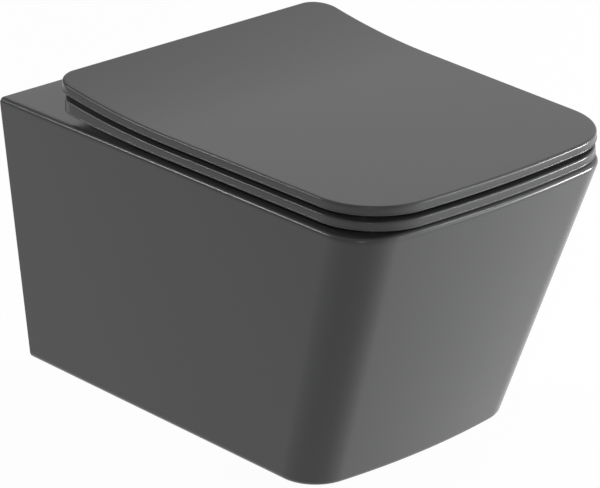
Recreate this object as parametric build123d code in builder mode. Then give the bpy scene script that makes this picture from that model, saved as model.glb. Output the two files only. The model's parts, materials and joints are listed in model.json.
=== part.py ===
from build123d import *
import math
import os

os.makedirs("parts", exist_ok=True)

# Wall hung toilet with a soft-close seat and lid.
# Millimetres, +Z up. The origin lies on the wall, midway between the two
# fixing studs, and the pan stands out of the wall along -Y. +X is to the
# right for someone who faces the wall.

# Wall connection heights, all counted from the line of the two studs
stud_spacing = 180.0
stud_hole_diameter = 13.5
rim_above_studs = 90.0
outlet_below_studs = 100.0
inlet_above_studs = 35.0

# Pan outside: the rim outline and the foot outline that the flanks join
pan_height = 293.0
rim_depth = 523.0
rim_half_width_wall = 177.5
rim_half_width_front = 165.0
rim_corner_radius = 50.0
foot_depth = 423.0
foot_half_width_wall = 151.0
foot_half_width_front = 137.0
foot_corner_radius = 45.0
front_bow = 12.5
rim_edge_radius = 5.0
foot_edge_radius = 12.0

# Pan inside: china thickness, bowl and waste way
china_wall = 11.0
deck_thickness = 14.0
bowl_wall = 10.0
bowl_rear = 152.0
bowl_lip_radius = 5.0
trap_bore_radius = 28.0
dip_below_sump = 13.0
dip_start_from_bowl = 150.0
rise_foot_from_bowl = 96.0
weir_length = 52.0
outlet_radius = 51.0
outlet_bore_radius = 40.0
outlet_recess = 30.0
outlet_spigot_length = 45.0
weir_below_rim = 138.0
trap_bend_radius = 45.0
trap_rise_angle = 55.0
trap_fall_angle = 60.0
inlet_bore_radius = 28.0
inlet_wall = 10.0
inlet_recess = 50.0
inlet_socket_length = 50.0
inlet_past_bowl_rear = 26.0
duct_bore_radius = 17.0

# The bowl's sections from the rim down: depth, width, length, corner radius
# and how far the section's rear edge lies from the wall
bowl_sections = [
    (0.0, 253.0, 333.0, 95.0, 151.5),
    (50.0, 244.0, 320.0, 99.0, 158.0),
    (110.0, 200.0, 258.0, 86.0, 192.0),
    (160.0, 140.0, 172.0, 64.0, 236.0),
    (200.0, 92.0, 104.0, 43.0, 262.0),
    (225.0, 60.0, 60.0, 28.0, 275.0),
]

# Seat and lid outline, seen from above
lid_rear = 82.0
lid_front = 528.5
lid_half_width_rear = 176.0
lid_half_width_front = 163.0
lid_rear_corner_radius = 26.0
lid_front_corner_radius = 70.0
lid_bow = 12.0
seat_inset = 0.6
seat_rear_inset = 3.0

# Seat and lid from the side: heights above the rim and the upsweep
upsweep_length = 168.0
seat_underside = 6.4
seat_thickness = 9.1
seat_underside_rise = 7.0
seat_top_rise = 13.5
shadow_gap = 6.0
lid_thickness = 9.1
lid_underside_rise = 14.0
lid_top_rise = 15.2
lid_top_edge_radius = 2.5
lid_lower_edge_radius = 1.0
seat_top_edge_radius = 2.0
seat_lower_edge_radius = 1.5
lid_recess_depth = 4.5
lid_recess_border = 12.0
lid_recess_rear_border = 5.0

# Seat opening
seat_opening_length = 285.0
seat_opening_width = 216.0
seat_opening_radius = 88.0
seat_opening_rear = 165.0
seat_comfort_radius = 5.0

# Hinge: the axis that seat and lid share, and the block that carries it
hinge_from_wall = 92.0
hinge_above_rim = 26.0
hinge_spacing = 155.0
post_ahead_of_hinge = 25.0
block_length = 31.0
barrel_radius = 9.0
column_depth = 18.0
block_height_above_axis = 5.0
block_corner_radius = 2.0
block_top_chamfer = 1.0
web_half_height = 4.5
side_gap = 0.6
lug_radius = 7.5
lug_width = 10.0
notch_clearance = 2.0
lid_skin_over_lug = 2.0

# Soft-close damper, its shaft and the plain bush
damper_radius = 7.0
damper_clearance = 0.05
damper_key_width = 3.0
damper_key_height = 1.2
shaft_radius = 3.0
shaft_flat = 2.2
running_clearance = 0.05
bush_radius = 4.5

# Mounting post through the deck, with its plate, gasket, plug and nut
deck_hole_radius = 8.0
base_plate_radius = 20.0
base_plate_thickness = 5.0
gasket_thickness = 1.5
gasket_inset = 0.6
post_flange_radius = 6.2
post_flange_thickness = 2.0
post_head_radius = 4.8
post_groove_radius = 3.0
post_groove_height = 4.6
post_neck_height = 2.2
post_head_height = 4.8
post_thread_radius = 4.0
plug_clearance = 0.1
plug_bulge_radius = 9.5
plug_below_deck = 14.0
cone_nut_radius = 7.0
cone_nut_height = 8.0
cone_nut_rise = 3.0
post_below_nut = 2.0
post_head_chamfer = 1.0
socket_clearance = 0.2
thread_clearance = 0.1
cone_nut_land = 1.0
base_plate_edge_radius = 1.5
damper_inset = 0.5
shaft_end_gap = 0.5

# Release button: a slider that grips the groove of the post
button_width = 11.6
button_thickness = 3.6
button_travel = 2.5
button_proud = 3.0
button_slide_clearance = 0.2
button_slot_clearance = 0.2
button_corner_radius = 1.2
spring_radius = 1.6
spring_wall = 0.5
spring_length = 6.0
slider_wall = 1.7

# Rubber bumpers under the seat and under the lid
bumper_length = 24.0
bumper_width = 12.0
bumper_corner_radius = 4.0
bumper_clearance = 0.1
seat_bumper_pocket = 1.6
lid_bumper_radius = 7.0
lid_bumper_pocket = 1.5
lid_bumper_chamfer = 1.5
bumper_front = 464.0
seat_bumper_front_half_width = 116.0
seat_bumper_rear = 215.0
seat_bumper_rear_half_width = 149.0
lid_bumper_front_half_width = 124.0
lid_bumper_rear = 310.0
lid_bumper_rear_half_width = 138.0

# Concealed wall fixing: steel bracket on each stud, china shelf on its arm
bracket_width = 60.0
bracket_thickness = 5.0
bracket_length = 132.0
bracket_below_stud = 32.0
bracket_bend_radius = 6.0
arm_below_rim = 70.0
shelf_thickness = 14.0
shelf_half_width_inner = 55.0
shelf_rear = 60.0
shelf_wall_bite = 3.0
shelf_front_gap = 5.0
clamp_screw_radius = 4.0
clamp_hole_radius = 6.5
clamp_head_radius = 6.5
clamp_head_height = 8.0
clamp_socket_radius = 3.4
clamp_socket_depth = 4.5
clamp_washer_radius = 11.0
clamp_washer_thickness = 3.0
clamp_sleeve_length = 9.0
clamp_sleeve_radius = 6.3
weld_nut_radius = 7.5
weld_nut_height = 8.0
clamp_screw_past_nut = 2.0
stud_radius = 6.0
stud_nut_across_flats = 18.0
stud_nut_height = 10.0
stud_washer_radius = 12.0
stud_washer_thickness = 2.5
washer_clearance = 0.4
gusset_thickness = 4.0
gusset_length = 45.0
gusset_foot = 6.0

# Flush distributor in the rear wall of the bowl
nozzle_radius = 20.0
nozzle_seat_clearance = 0.4
nozzle_seat_from_wall = 148.5
nozzle_head_room = 18.0
nozzle_flange = 4.0
nozzle_dome = 7.0
nozzle_neck_radius = 16.6
nozzle_neck_length = 26.0
nozzle_bore_radius = 13.0
nozzle_slot_height = 4.0
nozzle_slot_width = 12.0
nozzle_shoulder = 1.5
nozzle_dome_radius = 5.0
ring_seal_section = 1.3
ring_groove_width = 3.2
ring_from_seat = 14.0

# Places worked out from the sizes above
rim_z = rim_above_studs
foot_z = rim_z - pan_height
sump_depth = bowl_sections[-1][0]
deck_under_z = rim_z - deck_thickness
outlet_z = -outlet_below_studs
inlet_z = inlet_above_studs
arm_top_z = rim_z - arm_below_rim
shelf_top_z = arm_top_z + shelf_thickness
hinge_y = -hinge_from_wall
hinge_z = rim_z + hinge_above_rim
hinge_x = hinge_spacing / 2
post_y = hinge_y - post_ahead_of_hinge
plate_top_z = rim_z + gasket_thickness + base_plate_thickness
stud_x = stud_spacing / 2
past = 6.0
pick_margin = 1.0
pick_band = 0.1
facing = 0.5
hexagon_turn = 30.0


def mix(low, high, share):
    """The value a given share of the way from low to high."""
    return low + (high - low) * share


def draw_outline(rear, front, half_rear, half_front, bow):
    """Tapered outline with a bowed front edge, drawn in the open sketch."""
    with BuildLine() as edge:
        nose = ThreePointArc((-half_front, bow - front), (0, -front), (half_front, bow - front))
        Polyline(nose @ 1, (half_rear, -rear), (-half_rear, -rear), nose @ 0)
    make_face(edge.edges())


def draw_pan_section(sketch, z, inset, rear=0.0):
    """Outline of the pan at height z, drawn in from the outside by inset."""
    share = (z - foot_z) / pan_height
    draw_outline(
        rear,
        mix(foot_depth, rim_depth, share) - inset,
        mix(foot_half_width_wall, rim_half_width_wall, share) - inset,
        mix(foot_half_width_front, rim_half_width_front, share) - inset,
        front_bow,
    )
    corner = mix(foot_corner_radius, rim_corner_radius, share) - inset
    fillet(sketch.vertices().group_by(Axis.Y)[0], corner)


def draw_lid_plan(sketch, inset, rear_inset):
    """Plan outline of lid and seat, drawn in by inset, and at the rear by rear_inset."""
    draw_outline(
        lid_rear + rear_inset,
        lid_front - inset,
        lid_half_width_rear - inset,
        lid_half_width_front - inset,
        lid_bow,
    )
    corners = sketch.vertices().group_by(Axis.Y)
    fillet(corners[0], lid_front_corner_radius - inset)
    corners = sketch.vertices().group_by(Axis.Y)
    fillet(corners[-1], lid_rear_corner_radius - inset)


def rise_at(rise, length):
    """Height of the upsweep arc, length millimetres past its start."""
    radius = (upsweep_length**2 + rise**2) / (2 * rise)
    return radius - math.sqrt(radius**2 - length**2)


def lid_line_at(height, rise, y):
    """Height above the rim of an upswept line, at the place y."""
    start = -lid_rear - upsweep_length
    return height + (rise_at(rise, y - start) if y > start else 0.0)


def draw_side(low, low_rise, high, high_rise):
    """Side view of an upswept panel between two lines that end in arcs."""
    start = -lid_rear - upsweep_length
    end = past - lid_rear
    nose = -lid_front - past
    low_z = rim_z + low
    high_z = rim_z + high
    low_end = (end, low_z + rise_at(low_rise, end - start))
    high_end = (end, high_z + rise_at(high_rise, end - start))
    with BuildLine() as edge:
        Line((nose, low_z), (start, low_z))
        TangentArc((start, low_z), low_end, tangent=(1, 0))
        Line(low_end, high_end)
        TangentArc((start, high_z), high_end, tangent=(1, 0))
        Line((start, high_z), (nose, high_z))
        Line((nose, high_z), (nose, low_z))
    make_face(edge.edges())


def draw_seat_bumpers(grow=0.0):
    """The four rounded pads under the seat, or their pockets, in the open sketch."""
    places = [
        (seat_bumper_front_half_width, -bumper_front),
        (seat_bumper_rear_half_width, -seat_bumper_rear),
    ]
    for x, y in places:
        with Locations((x, y), (-x, y)):
            width = bumper_width + 2 * grow
            length = bumper_length + 2 * grow
            RectangleRounded(width, length, bumper_corner_radius + grow)


def draw_lid_bumpers(grow=0.0):
    """The four round pads under the lid, or their pockets, in the open sketch."""
    places = [
        (lid_bumper_front_half_width, -bumper_front),
        (lid_bumper_rear_half_width, -lid_bumper_rear),
    ]
    for x, y in places:
        with Locations((x, y), (-x, y)):
            Circle(lid_bumper_radius + grow)


def both_ways(start, end):
    """The same stretch of X on the left and on the right of the middle."""
    return [(start, end), (-end, -start)]


def loft_bowl(grow, mode):
    """The bowl as a smooth loft; grow gives the china around it."""
    faces = []
    for depth, width, length, corner, rear in bowl_sections:
        z = rim_z - depth
        if depth == 0:
            z = deck_under_z if grow else rim_z + past
        if depth == sump_depth:
            z = z - grow
        with BuildSketch(Plane.XY.offset(z)) as section:
            with Locations((0, -rear - length / 2)):
                RectangleRounded(width + 2 * grow, length + 2 * grow, corner + grow)
        faces.append(section.sketch)
    loft(faces, mode=mode)


# The waste way in the plane x = 0: dip, inclined rise, weir and outlet
dip_z = rim_z - sump_depth - dip_below_sump
weir_z = rim_z - weir_below_rim
dip_start_y = -bowl_rear - dip_start_from_bowl
rise_foot_y = -bowl_rear - rise_foot_from_bowl
rise_head_y = rise_foot_y + (weir_z - dip_z) / math.tan(math.radians(trap_rise_angle))
fall_start_y = rise_head_y + weir_length
fall_end_y = fall_start_y + (weir_z - outlet_z) / math.tan(math.radians(trap_fall_angle))
trap_points = [
    (0, dip_start_y, dip_z),
    (0, rise_foot_y, dip_z),
    (0, rise_head_y, weir_z),
    (0, fall_start_y, weir_z),
    (0, fall_end_y, outlet_z),
    (0, -outlet_recess - past, outlet_z),
]


def sweep_trap(radius, mode):
    """A round tube of the given radius along the waste way."""
    with BuildLine():
        way = FilletPolyline(*trap_points, radius=trap_bend_radius)
    with BuildSketch(Plane(origin=way @ 0, z_dir=way % 0)) as bore:
        Circle(radius)
    sweep(bore.sketch, path=way, mode=mode)


def turn_y(radius, start, end, mode=Mode.ADD, z=0.0):
    """A plain cylinder along Y from start to end, both counted from the wall."""
    with BuildSketch(Plane.XZ.offset(start)) as disc:
        with Locations((0, z)):
            Circle(radius)
    extrude(disc.sketch, amount=end - start, mode=mode)


with BuildPart() as pan:
    # Outside: straight flanks that join the foot outline to the rim outline
    with BuildSketch(Plane.XY.offset(foot_z)) as foot:
        draw_pan_section(foot, foot_z, 0, rear=-past)
    with BuildSketch(Plane.XY.offset(rim_z)) as rim:
        draw_pan_section(rim, rim_z, 0, rear=-past)
    loft(ruled=True)
    rim_edges = pan.edges().group_by(Axis.Z)[-1].sort_by(Axis.Y)[:-1]
    fillet(rim_edges, rim_edge_radius)
    foot_edges = pan.edges().group_by(Axis.Z)[0].sort_by(Axis.Y)[:-1]
    fillet(foot_edges, foot_edge_radius)
    split(bisect_by=Plane.XZ)

    # Hollow that opens at the wall
    cavity_floor_z = foot_z + china_wall
    with BuildSketch(Plane.XY.offset(cavity_floor_z)) as cavity_floor:
        draw_pan_section(cavity_floor, cavity_floor_z, china_wall, rear=-past)
    with BuildSketch(Plane.XY.offset(deck_under_z)) as cavity_roof:
        draw_pan_section(cavity_roof, deck_under_z, china_wall, rear=-past)
    loft(ruled=True, mode=Mode.SUBTRACT)

    # Shelf on each side that hangs on the arm of its wall bracket
    shelf_outer = mix(foot_half_width_wall, rim_half_width_wall, (arm_top_z - foot_z) / pan_height)
    shelf_outer = shelf_outer - china_wall + shelf_wall_bite
    shelf_width = shelf_outer - shelf_half_width_inner
    shelf_length = bowl_rear - shelf_rear - shelf_front_gap
    with BuildSketch(Plane.XY.offset(arm_top_z)):
        with GridLocations(shelf_outer + shelf_half_width_inner, 1, 2, 1):
            with Locations((0, -shelf_rear - shelf_length / 2)):
                Rectangle(shelf_width, shelf_length)
    extrude(amount=shelf_thickness)

    # The bowl's mouth, which goes right through the deck
    loft_bowl(0, Mode.SUBTRACT)

    # Holes for the two mounting posts and, under them, the clamp screws
    with Locations((0, post_y, rim_z)):
        with GridLocations(hinge_spacing, 1, 2, 1):
            Hole(deck_hole_radius, deck_thickness + past)
    with Locations((0, post_y, shelf_top_z)):
        with GridLocations(hinge_spacing, 1, 2, 1):
            Hole(clamp_hole_radius, shelf_thickness + past)

    # Round the lip of the bowl, where the seat opening shows it
    bowl_lip = pan.faces().sort_by(Axis.Z)[-1].inner_wires().sort_by(SortBy.LENGTH)[-1]
    fillet(bowl_lip.edges(), bowl_lip_radius)
pan.part.label = "pan"
export_step(pan.part, "parts/pan.step")


# Bowl, waste way and outlet spigot, which are stuck to the deck's underside
# before firing, and the boss that meets the inlet socket
inlet_bore_end = inlet_recess + inlet_socket_length
inlet_socket_end = inlet_bore_end + inlet_wall

with BuildPart() as bowl:
    loft_bowl(bowl_wall, Mode.ADD)
    sweep_trap(trap_bore_radius + bowl_wall, Mode.ADD)
    turn_y(outlet_radius, outlet_recess, outlet_recess + outlet_spigot_length, z=outlet_z)
    boss_end = bowl_rear + inlet_past_bowl_rear
    turn_y(inlet_bore_radius + inlet_wall, inlet_socket_end, boss_end, z=inlet_z)

    # Everything that water reaches into
    outlet_bore_end = outlet_recess + outlet_spigot_length - bowl_wall
    nozzle_room_end = bowl_rear + nozzle_head_room
    nozzle_room_radius = nozzle_radius + nozzle_seat_clearance
    loft_bowl(0, Mode.SUBTRACT)
    sweep_trap(trap_bore_radius, Mode.SUBTRACT)
    turn_y(outlet_bore_radius, outlet_recess - past, outlet_bore_end, Mode.SUBTRACT, outlet_z)
    turn_y(duct_bore_radius, inlet_socket_end, bowl_rear + past, Mode.SUBTRACT, inlet_z)
    turn_y(nozzle_room_radius, nozzle_seat_from_wall, nozzle_room_end, Mode.SUBTRACT, inlet_z)
bowl.part.label = "bowl"
export_step(bowl.part, "parts/bowl.step")

with BuildPart() as inlet_socket:
    turn_y(inlet_bore_radius + inlet_wall, inlet_recess, inlet_socket_end, z=inlet_z)
    turn_y(inlet_bore_radius, inlet_recess, inlet_bore_end, Mode.SUBTRACT, inlet_z)
    turn_y(duct_bore_radius, inlet_recess, inlet_socket_end, Mode.SUBTRACT, inlet_z)
inlet_socket.part.label = "inlet_socket"
export_step(inlet_socket.part, "parts/inlet_socket.step")


# Seat, lid and hinge share one axis; both hinges stand the same distance out
axis_plane = Plane(origin=(0, hinge_y, hinge_z), x_dir=(0, 1, 0), z_dir=(1, 0, 0))
block_inner_x = hinge_x - block_length / 2
block_outer_x = hinge_x + block_length / 2
seat_lug_x = block_outer_x + side_gap
lid_lug_x = block_inner_x - side_gap - lug_width
notch_inner_x = lid_lug_x - notch_clearance
notch_front_y = post_y - column_depth / 2 - notch_clearance
seat_top = seat_underside + seat_thickness
lid_underside = seat_top + shadow_gap
lid_top = lid_underside + lid_thickness
upsweep_start_y = -lid_rear - upsweep_length
opening_centre_y = -seat_opening_rear - seat_opening_length / 2


def turn_x(radius, start, end, mode=Mode.ADD):
    """A cylinder on the hinge axis from start to end, counted along X."""
    with BuildSketch(axis_plane.offset(start)) as disc:
        Circle(radius)
    extrude(disc.sketch, amount=end - start, mode=mode)


def turn_keyed_x(radius, flat, start, end, mode=Mode.ADD):
    """The same with a flat along it, flat millimetres from the axis."""
    with BuildSketch(axis_plane.offset(start)) as keyed:
        Circle(radius)
        with Locations((0, flat + radius)):
            Rectangle(3 * radius, 2 * radius, mode=Mode.SUBTRACT)
    extrude(keyed.sketch, amount=end - start, mode=mode)


def panel_edges(panel, up):
    """The edges round an upswept panel's top (up = 1) or underside (up = -1)."""
    faces = panel.faces().filter_by(lambda f: f.normal_at().Z * up > facing)
    return faces.edges().filter_by(lambda e: abs(e.center().Y - upsweep_start_y) > pick_margin)


def export_pair(piece, name):
    """Write the right-hand piece and its mirror image for the left."""
    piece.part.label = name + "_right"
    export_step(piece.part, "parts/" + name + "_right.step")
    twin = mirror(piece.part, about=Plane.YZ)
    twin.label = name + "_left"
    export_step(twin, "parts/" + name + "_left.step")


with BuildPart() as seat:
    with BuildSketch(Plane.XY.offset(rim_z)) as seat_plan:
        draw_lid_plan(seat_plan, seat_inset, seat_rear_inset)
    extrude(amount=2 * hinge_above_rim)
    with BuildSketch(Plane.YZ.offset(-rim_half_width_wall)):
        draw_side(seat_underside, seat_underside_rise, seat_top, seat_top_rise)
    extrude(amount=2 * rim_half_width_wall, mode=Mode.INTERSECT)
    fillet(panel_edges(seat, 1), seat_top_edge_radius)
    fillet(panel_edges(seat, -1), seat_lower_edge_radius)

    # Opening with a soft upper edge
    with BuildSketch(Plane.XY.offset(rim_z)):
        with Locations((0, opening_centre_y)):
            RectangleRounded(seat_opening_width, seat_opening_length, seat_opening_radius)
    extrude(amount=2 * hinge_above_rim, mode=Mode.SUBTRACT)
    upper_faces = seat.faces().filter_by(lambda f: f.normal_at().Z > facing)
    ring_edges = upper_faces.edges().filter_by(
        lambda e: abs(e.center().X) < seat_opening_width / 2 + pick_margin
        and abs(e.center().Y - opening_centre_y) < seat_opening_length / 2 + pick_margin
        and abs(e.center().Y - upsweep_start_y) > pick_margin
    )
    fillet(ring_edges, seat_comfort_radius)

    # Notches that the hinge blocks and the lid's lugs stand in
    notch_width = seat_lug_x - notch_inner_x
    notch_length = past - lid_rear - notch_front_y
    with BuildSketch(Plane.XY.offset(rim_z)):
        with Locations((0, notch_front_y + notch_length / 2)):
            with GridLocations(seat_lug_x + notch_inner_x, 1, 2, 1):
                Rectangle(notch_width, notch_length)
    extrude(amount=2 * hinge_above_rim, mode=Mode.SUBTRACT)

    # Lugs outside the blocks: keyed on the left, bushed on the right
    for start, end in both_ways(seat_lug_x, seat_lug_x + lug_width):
        turn_x(lug_radius, start, end)
    turn_keyed_x(
        shaft_radius + running_clearance,
        shaft_flat + running_clearance,
        -seat_lug_x - lug_width,
        -seat_lug_x,
        Mode.SUBTRACT,
    )
    turn_x(bush_radius + running_clearance, seat_lug_x, seat_lug_x + lug_width, Mode.SUBTRACT)

    # Pockets that hold the four bumpers
    with BuildSketch(Plane.XY.offset(rim_z)):
        draw_seat_bumpers(bumper_clearance)
    extrude(amount=seat_underside + seat_bumper_pocket, mode=Mode.SUBTRACT)
seat.part.label = "seat"
export_step(seat.part, "parts/seat.step")


with BuildPart() as lid_hollow:
    # The shallow recess in the lid's underside, as a body to cut away
    with BuildSketch(Plane.XY.offset(rim_z)) as recess_plan:
        draw_lid_plan(recess_plan, lid_recess_border, lid_recess_rear_border)
    extrude(amount=2 * hinge_above_rim)
    with BuildSketch(Plane.YZ.offset(-rim_half_width_wall)):
        recess_roof = lid_underside + lid_recess_depth
        draw_side(lid_underside - past, lid_underside_rise, recess_roof, lid_underside_rise)
    extrude(amount=2 * rim_half_width_wall, mode=Mode.INTERSECT)

with BuildPart() as lid:
    with BuildSketch(Plane.XY.offset(rim_z)) as lid_plan:
        draw_lid_plan(lid_plan, 0, 0)
    extrude(amount=2 * hinge_above_rim)
    with BuildSketch(Plane.YZ.offset(-rim_half_width_wall)):
        draw_side(lid_underside, lid_underside_rise, lid_top, lid_top_rise)
    extrude(amount=2 * rim_half_width_wall, mode=Mode.INTERSECT)
    fillet(panel_edges(lid, 1), lid_top_edge_radius)
    fillet(panel_edges(lid, -1), lid_lower_edge_radius)
    add(lid_hollow.part, mode=Mode.SUBTRACT)

    # Lugs inside the blocks, joined to the lid's skin: bushed left, keyed right
    lug_roof = lid_line_at(lid_top, lid_top_rise, hinge_y - lug_radius) - lid_skin_over_lug
    lug_height = lug_roof - hinge_above_rim
    for start, end in both_ways(lid_lug_x, lid_lug_x + lug_width):
        with BuildSketch(axis_plane.offset(start)):
            Circle(lug_radius)
            with Locations((0, lug_height / 2)):
                Rectangle(2 * lug_radius, lug_height)
        extrude(amount=end - start)
    turn_keyed_x(
        shaft_radius + running_clearance,
        shaft_flat + running_clearance,
        lid_lug_x,
        lid_lug_x + lug_width,
        Mode.SUBTRACT,
    )
    turn_x(bush_radius + running_clearance, -lid_lug_x - lug_width, -lid_lug_x, Mode.SUBTRACT)

    # Pockets that hold the lid's bumpers
    with BuildSketch(Plane.XY.offset(rim_z + lid_underside)):
        draw_lid_bumpers(bumper_clearance)
    extrude(amount=lid_recess_depth + lid_bumper_pocket, mode=Mode.SUBTRACT)
lid.part.label = "lid"
export_step(lid.part, "parts/lid.step")


with BuildPart() as seat_bumpers:
    with BuildSketch(Plane.XY.offset(rim_z)):
        draw_seat_bumpers()
    extrude(amount=seat_underside + seat_bumper_pocket)
seat_bumpers.part.label = "seat_bumpers"
export_step(seat_bumpers.part, "parts/seat_bumpers.step")

with BuildPart() as lid_bumpers:
    with BuildSketch(Plane.XY.offset(rim_z + seat_top)):
        draw_lid_bumpers()
    extrude(amount=shadow_gap + lid_recess_depth + lid_bumper_pocket)
    chamfer(lid_bumpers.edges().group_by(Axis.Z)[0], lid_bumper_chamfer)
lid_bumpers.part.label = "lid_bumpers"
export_step(lid_bumpers.part, "parts/lid_bumpers.step")


# Right-hand hinge block: barrel on the axis, column over the post, web between
post_place = Location((hinge_x, post_y))
block_top_z = hinge_z + block_height_above_axis
groove_z = plate_top_z + post_flange_thickness + post_neck_height
slider_z = groove_z + (post_groove_height - button_thickness) / 2
head_z = groove_z + post_groove_height
post_top_z = head_z + post_head_height
slider_end_x = hinge_x + post_head_radius + slider_wall
channel_end_x = slider_end_x + spring_length

with BuildPart() as hinge_block:
    with BuildSketch(Plane.XY.offset(plate_top_z)):
        with Locations(post_place):
            Rectangle(block_length, column_depth)
    extrude(amount=block_top_z - plate_top_z)
    with BuildSketch(axis_plane.offset(block_inner_x)):
        with Locations((-post_ahead_of_hinge / 2, 0)):
            Rectangle(post_ahead_of_hinge, 2 * web_half_height)
    extrude(amount=block_length)
    turn_x(barrel_radius, block_inner_x, block_outer_x)
    upright_edges = hinge_block.edges().filter_by(Axis.Z).group_by(Axis.Y)[0]
    fillet(upright_edges, block_corner_radius)
    top_low = block_top_z - pick_band
    top_high = block_top_z + pick_band
    top_edges = hinge_block.edges().filter_by_position(Axis.Z, top_low, top_high)
    chamfer(top_edges.sort_by(Axis.Y)[:-1], block_top_chamfer)

    # Bore for the damper with its keyway
    turn_x(damper_radius, block_inner_x, block_outer_x, Mode.SUBTRACT)
    with BuildSketch(axis_plane.offset(block_inner_x)):
        with Locations((0, -damper_radius)):
            Rectangle(damper_key_width, 2 * damper_key_height)
    extrude(amount=block_length, mode=Mode.SUBTRACT)

    # Socket that drops over the post
    with BuildSketch(Plane.XY.offset(plate_top_z)):
        with Locations(post_place):
            Circle(post_flange_radius + socket_clearance)
    extrude(amount=post_flange_thickness + socket_clearance, mode=Mode.SUBTRACT)
    with BuildSketch(Plane.XY.offset(plate_top_z)):
        with Locations(post_place):
            Circle(post_head_radius + socket_clearance)
    extrude(amount=post_top_z + socket_clearance - plate_top_z, mode=Mode.SUBTRACT)

    # Channel for the slider, open towards the middle of the seat
    channel_length = channel_end_x - block_inner_x
    with BuildSketch(Plane.XY.offset(slider_z - button_slide_clearance)):
        with Locations((block_inner_x + channel_length / 2, post_y)):
            Rectangle(channel_length, button_width + 2 * button_slide_clearance)
    extrude(amount=button_thickness + 2 * button_slide_clearance, mode=Mode.SUBTRACT)
export_pair(hinge_block, "hinge_block")


# Release button: slider with a keyhole; the narrow end grips the post's groove
with BuildPart() as release_button:
    slider_length = slider_end_x - block_inner_x + button_proud
    with BuildSketch(Plane.XY.offset(slider_z)):
        with Locations((slider_end_x - slider_length / 2, post_y)):
            Rectangle(slider_length, button_width)
        with Locations((hinge_x - button_travel, post_y)):
            Circle(post_head_radius + button_slot_clearance, mode=Mode.SUBTRACT)
        with Locations((hinge_x, post_y)):
            Circle(post_groove_radius + button_slot_clearance, mode=Mode.SUBTRACT)
        with Locations((hinge_x - button_travel / 2, post_y)):
            slot_width = 2 * (post_groove_radius + button_slot_clearance)
            Rectangle(button_travel, slot_width, mode=Mode.SUBTRACT)
    extrude(amount=button_thickness)
    thumb_face = release_button.faces().sort_by(Axis.X)[0]
    fillet(thumb_face.edges(), button_corner_radius)
export_pair(release_button, "release_button")

# Release spring: it stands between the slider and the end of its channel
with BuildPart() as release_spring:
    spring_z = slider_z + button_thickness / 2
    with BuildSketch(Plane.YZ.offset(slider_end_x)):
        with Locations((post_y, spring_z)):
            Circle(spring_radius)
            Circle(spring_radius - spring_wall, mode=Mode.SUBTRACT)
    extrude(amount=spring_length)
export_pair(release_spring, "release_spring")

# Base plate on the deck, and the soft gasket under it
with BuildPart() as base_plate:
    with BuildSketch(Plane.XY.offset(rim_z + gasket_thickness)):
        with Locations(post_place):
            Circle(base_plate_radius)
            Circle(post_thread_radius + thread_clearance, mode=Mode.SUBTRACT)
    extrude(amount=base_plate_thickness)
    plate_edge = base_plate.edges().group_by(Axis.Z)[-1].sort_by(SortBy.RADIUS)[-1]
    fillet(plate_edge, base_plate_edge_radius)
export_pair(base_plate, "base_plate")

with BuildPart() as base_gasket:
    with BuildSketch(Plane.XY.offset(rim_z)):
        with Locations(post_place):
            Circle(base_plate_radius - gasket_inset)
            Circle(post_thread_radius + thread_clearance, mode=Mode.SUBTRACT)
    extrude(amount=gasket_thickness)
export_pair(base_gasket, "base_gasket")

# Expanding plug in the deck hole: the cone nut is drawn up into its foot
post_plane = Plane(origin=(hinge_x, post_y, 0), x_dir=(1, 0, 0), z_dir=(0, -1, 0))
post_axis = Axis((hinge_x, post_y, 0), (0, 0, 1))
plug_foot_z = deck_under_z - plug_below_deck
nut_foot_z = plug_foot_z - cone_nut_height
cone_top_radius = post_thread_radius + cone_nut_land

with BuildPart() as expanding_plug:
    with BuildSketch(post_plane):
        with BuildLine():
            Polyline(
                (post_thread_radius + thread_clearance, rim_z),
                (deck_hole_radius - plug_clearance, rim_z),
                (deck_hole_radius - plug_clearance, deck_under_z),
                (plug_bulge_radius, deck_under_z),
                (plug_bulge_radius, plug_foot_z),
                (cone_nut_radius + plug_clearance, plug_foot_z),
                (cone_top_radius + plug_clearance, plug_foot_z + cone_nut_rise),
                (post_thread_radius + thread_clearance, plug_foot_z + cone_nut_rise),
                close=True,
            )
        make_face()
    revolve(axis=post_axis)
export_pair(expanding_plug, "expanding_plug")

with BuildPart() as cone_nut:
    with BuildSketch(post_plane):
        with BuildLine():
            Polyline(
                (post_thread_radius + running_clearance, plug_foot_z + cone_nut_rise),
                (cone_top_radius, plug_foot_z + cone_nut_rise),
                (cone_nut_radius, plug_foot_z),
                (cone_nut_radius, nut_foot_z),
                (post_thread_radius + running_clearance, nut_foot_z),
                close=True,
            )
        make_face()
    revolve(axis=post_axis)
export_pair(cone_nut, "cone_nut")

# Mounting post: thread, flange on the plate, neck, groove and head
with BuildPart() as mounting_post:
    with BuildSketch(post_plane):
        with BuildLine():
            Polyline(
                (0, nut_foot_z - post_below_nut),
                (post_thread_radius, nut_foot_z - post_below_nut),
                (post_thread_radius, plate_top_z),
                (post_flange_radius, plate_top_z),
                (post_flange_radius, plate_top_z + post_flange_thickness),
                (post_head_radius, plate_top_z + post_flange_thickness),
                (post_head_radius, groove_z),
                (post_groove_radius, groove_z),
                (post_groove_radius, head_z),
                (post_head_radius, head_z),
                (post_head_radius, post_top_z - post_head_chamfer),
                (post_head_radius - post_head_chamfer, post_top_z),
                (0, post_top_z),
                close=True,
            )
        make_face()
    revolve(axis=post_axis)
export_pair(mounting_post, "mounting_post")

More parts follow.
